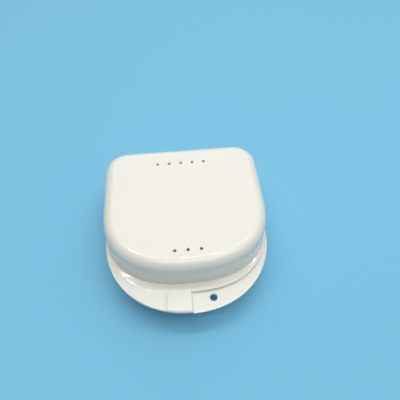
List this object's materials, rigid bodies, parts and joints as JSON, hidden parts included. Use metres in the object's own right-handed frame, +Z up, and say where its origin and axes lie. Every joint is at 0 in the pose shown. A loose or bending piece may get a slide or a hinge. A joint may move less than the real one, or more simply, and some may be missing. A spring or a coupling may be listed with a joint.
{
  "type": "denture case",
  "caption": "D-shaped hinged denture or retainer case with a domed, vented lid, locating lip, offset thumb tabs and a lanyard hole.",
  "frame": {"origin": "middle of the closed case in plan, on the plane that its foot stands on", "axes": "+Z up, -Y towards the thumb tabs, +Y towards the hinge, +X to the right seen from the tabs, so the lid's tab is at -X and the base's tab with the lanyard hole at +X"},
  "size_m": [0.075, 0.0888, 0.029],
  "materials": {
    "base_plastic": "gloss moulded, warm white",
    "lid_plastic": "gloss moulded, warm white",
    "pin_steel": "drawn wire, bright"
  },
  "bodies": {
    "base": {"base": "base_plastic", "hinge_pin_left": "pin_steel", "hinge_pin_right": "pin_steel"},
    "lid": {"lid": "lid_plastic"}
  },
  "joints": [
    {"name": "lid_hinge", "type": "hinge", "parent": "base", "child": "lid", "pos_m": [0, 0.04064, 0.013], "axis": [-1, 0, 0], "range_deg": [0, 118]}
  ]
}
